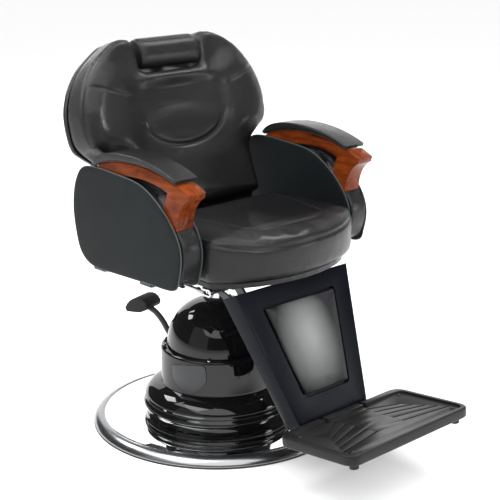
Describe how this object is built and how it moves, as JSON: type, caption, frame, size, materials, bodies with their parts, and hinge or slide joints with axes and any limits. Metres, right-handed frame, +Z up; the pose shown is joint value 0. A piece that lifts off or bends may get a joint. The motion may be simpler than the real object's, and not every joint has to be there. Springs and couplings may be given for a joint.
{
  "type": "hydraulic barber chair",
  "caption": "Hydraulic barber chair with a round base, pump pedal, swivel seat, reclining back, sliding headrest, wooden arms and a leg rest with folding footplate.",
  "frame": {"origin": "on the floor at the centre of the round base", "axes": "+Z up; -Y the way the chair faces, along the leg rest; +X towards the sitter's left hand"},
  "size_m": [0.66, 0.9931, 0.9943],
  "materials": {
    "chrome": "polished",
    "zinc_steel": "satin",
    "black_steel": "satin",
    "gloss_black": "gloss",
    "cast_iron": "matte",
    "rubber": "matte",
    "black_leather": "satin",
    "grey_vinyl": "satin",
    "padding": "matte",
    "back_board": "satin",
    "mahogany": "gloss",
    "moulded": "satin"
  },
  "bodies": {
    "base": {"base_plate": "black_steel", "base_cover": "chrome", "base_gasket": "rubber", "pump_cylinder": "cast_iron", "pump_bolt_1": "zinc_steel", "pump_bolt_2": "zinc_steel", "pump_bolt_3": "zinc_steel", "pump_bolt_4": "zinc_steel", "hood_ring": "gloss_black", "hood_sleeve": "gloss_black", "hood_dome": "gloss_black", "rod_seal": "rubber", "pedal_pin": "zinc_steel"},
    "pedal": {"pedal_arm": "black_steel", "pedal_pad": "rubber"},
    "plunger": {"pump_plunger": "zinc_steel"},
    "lift": {"piston_rod": "chrome"},
    "seat": {"seat_hub": "cast_iron", "seat_rail_left": "black_steel", "seat_rail_right": "black_steel", "arm_bar_front": "black_steel", "arm_bar_rear": "black_steel", "seat_board": "back_board", "seat_cushion": "black_leather", "arm_bolt_front_left": "zinc_steel", "arm_bolt_front_right": "zinc_steel", "arm_bolt_rear_left": "zinc_steel", "arm_bolt_rear_right": "zinc_steel", "arm_panel_inner_left": "grey_vinyl", "arm_panel_inner_right": "grey_vinyl", "arm_panel_outer_left": "grey_vinyl", "arm_panel_outer_right": "grey_vinyl", "arm_core_left": "padding", "arm_core_right": "padding", "wood_arm_left": "mahogany", "wood_arm_right": "mahogany", "arm_pad_left": "black_leather", "arm_pad_right": "black_leather", "leg_hinge_pin": "zinc_steel", "back_hinge_pin": "zinc_steel"},
    "back": {"back_cushion": "black_leather", "back_panel": "back_board", "back_upright_left": "black_steel", "back_upright_right": "black_steel", "back_lever": "black_steel", "back_crossbar": "black_steel"},
    "headrest": {"headrest_post": "chrome", "headrest_bolster": "black_leather"},
    "legrest": {"leg_shell": "moulded", "leg_pad": "black_leather", "leg_bracket": "black_steel", "footplate_pin": "zinc_steel"},
    "footplate": {"footplate": "moulded", "foot_bumper_left": "rubber", "foot_bumper_right": "rubber"},
    "link": {"link_bar": "black_steel"},
    "strut_tube": {"strut_cylinder": "black_steel"},
    "strut_rod": {"strut_rod": "chrome"},
    "recline_lever": {"recline_lever": "black_steel", "recline_grip": "rubber"}
  },
  "joints": [
    {"name": "pedal_press", "type": "hinge", "parent": "base", "child": "pedal", "pos_m": [-0.01863, 0.06955, 0.17], "axis": [-0.9659, -0.2588, 0], "range_deg": [0, 20], "stiffness_Nm_per_rad": 10, "springref_deg": -17.19},
    {"name": "plunger_stroke", "type": "slide", "parent": "base", "child": "plunger", "axis": [0, 0, -1], "range_m": [0, 0.016]},
    {"name": "seat_lift", "type": "slide", "parent": "base", "child": "lift", "axis": [0, 0, 1], "range_m": [0, 0.15]},
    {"name": "seat_swivel", "type": "hinge", "parent": "lift", "child": "seat", "pos_m": [0, 0, 0.39], "axis": [0, 0, 1], "continuous": true},
    {"name": "recline", "type": "hinge", "parent": "seat", "child": "back", "pos_m": [0, 0.15, 0.475], "axis": [-1, 0, 0], "range_deg": [0, 42]},
    {"name": "headrest_height", "type": "slide", "parent": "back", "child": "headrest", "axis": [0, 0.2874, 0.9578], "range_m": [0, 0.07]},
    {"name": "leg_rise", "type": "hinge", "parent": "seat", "child": "legrest", "pos_m": [0, -0.2489, 0.369], "axis": [-1, 0, 0], "range_deg": [0, 42]},
    {"name": "link_turn", "type": "hinge", "parent": "back", "child": "link", "pos_m": [0.14, 0.16, 0.425], "axis": [-1, 0, 0], "range_deg": [-42, 0]},
    {"name": "strut_turn", "type": "hinge", "parent": "seat", "child": "strut_tube", "pos_m": [-0.2, 0.11, 0.436], "axis": [1, 0, 0], "range_deg": [0, 11.55]},
    {"name": "strut_extend", "type": "slide", "parent": "strut_tube", "child": "strut_rod", "axis": [0, 0.9999, 0.0167], "range_m": [0, 0.0199]},
    {"name": "footplate_fold", "type": "hinge", "parent": "legrest", "child": "footplate", "pos_m": [0, -0.446, 0.128], "axis": [-1, 0, 0], "range_deg": [0, 97]},
    {"name": "lever_pull", "type": "hinge", "parent": "seat", "child": "recline_lever", "pos_m": [0.163, 0.06, 0.428], "axis": [1, 0, 0], "range_deg": [0, 18], "stiffness_Nm_per_rad": 2, "springref_deg": -17.19}
  ],
  "couplings": [
    {"joint": "plunger_stroke", "follows": "pedal_press", "m_per_rad": 0.045},
    {"joint": "leg_rise", "follows": "recline", "ratio": 1},
    {"joint": "link_turn", "follows": "recline", "ratio": -1},
    {"joint": "strut_turn", "follows": "recline", "ratio": 0.27332},
    {"joint": "strut_extend", "follows": "recline", "m_per_rad": 0.02704}
  ]
}
